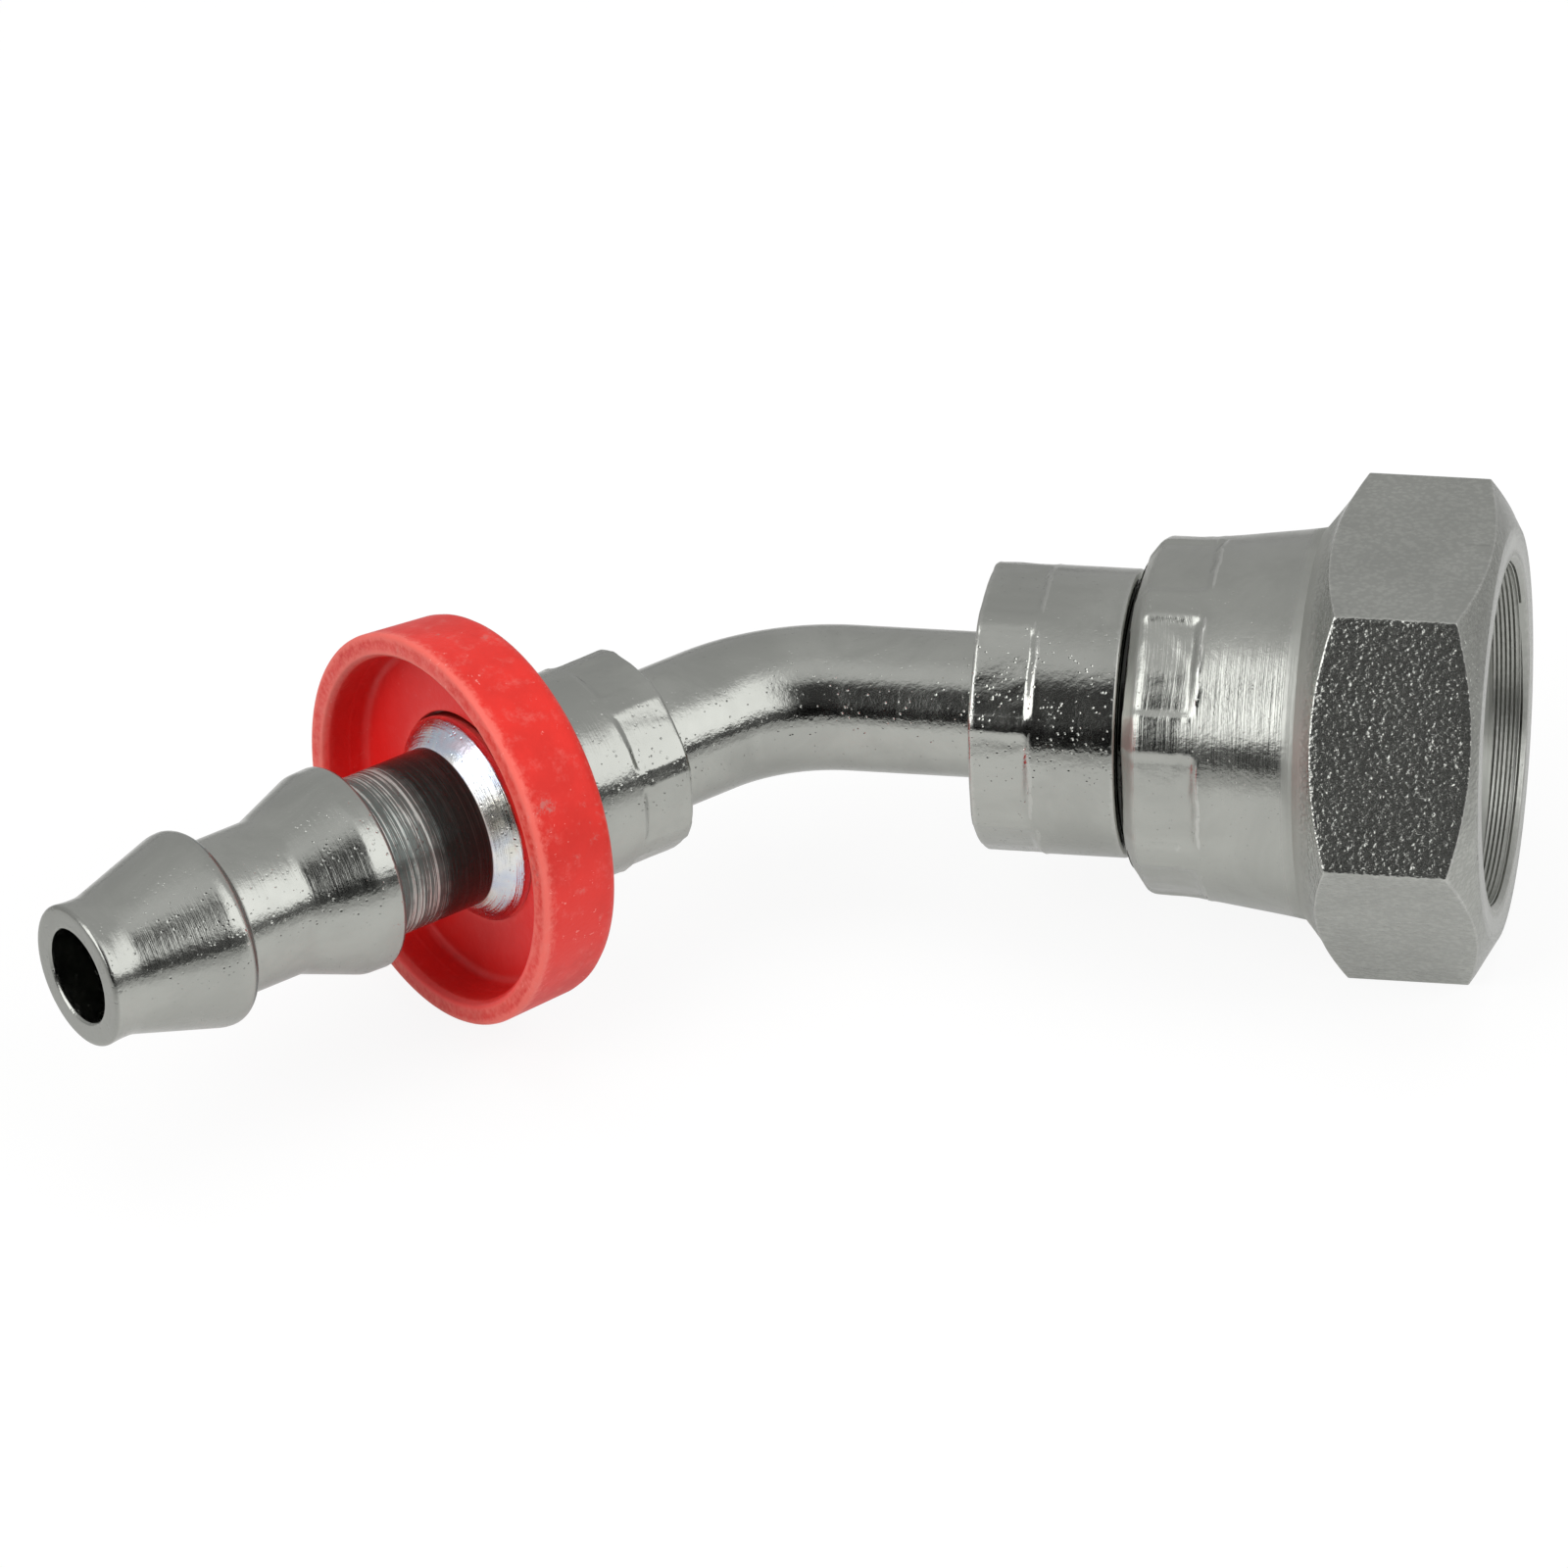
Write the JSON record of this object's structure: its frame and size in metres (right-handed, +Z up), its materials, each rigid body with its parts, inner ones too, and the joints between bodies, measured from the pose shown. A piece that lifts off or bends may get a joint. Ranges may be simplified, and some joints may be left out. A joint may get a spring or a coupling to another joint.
{
  "type": "elbow hose tail",
  "caption": "Swept elbow hose tail: a barbed push-on tail with a plastic stop ring, a bent steel tube and a crimped swivel nut over a cone nipple",
  "frame": {"origin": "the middle of the tip face of the hose tail, at the mouth of its bore", "axes": "+X along the tail from its tip into the part, the longest extent; the bend lies flat in the XY plane and turns towards -Y; +Z is up, across the flats of the nut, the shortest extent"},
  "size_m": [0.093, 0.0546, 0.0278],
  "materials": {
    "hose_tail": "turned steel with clear bright zinc plating",
    "hose_stop": "soft red moulded plastic, half gloss",
    "elbow_tube": "drawn steel tube with satin zinc plating",
    "cone_nipple": "turned steel with slightly pitted zinc plating",
    "swivel_nut": "turned skirt and matte hexagon, zinc plated, worn edges"
  },
  "bodies": {
    "body": {"hose_tail": "hose_tail", "hose_stop": "hose_stop", "elbow_tube": "elbow_tube", "cone_nipple": "cone_nipple"},
    "nut": {"swivel_nut": "swivel_nut"}
  },
  "joints": [
    {"name": "nut_swivel", "type": "hinge", "parent": "body", "child": "nut", "pos_m": [0.0778, -0.0268, 0], "axis": [0.7071, -0.7071, 0], "continuous": true}
  ]
}
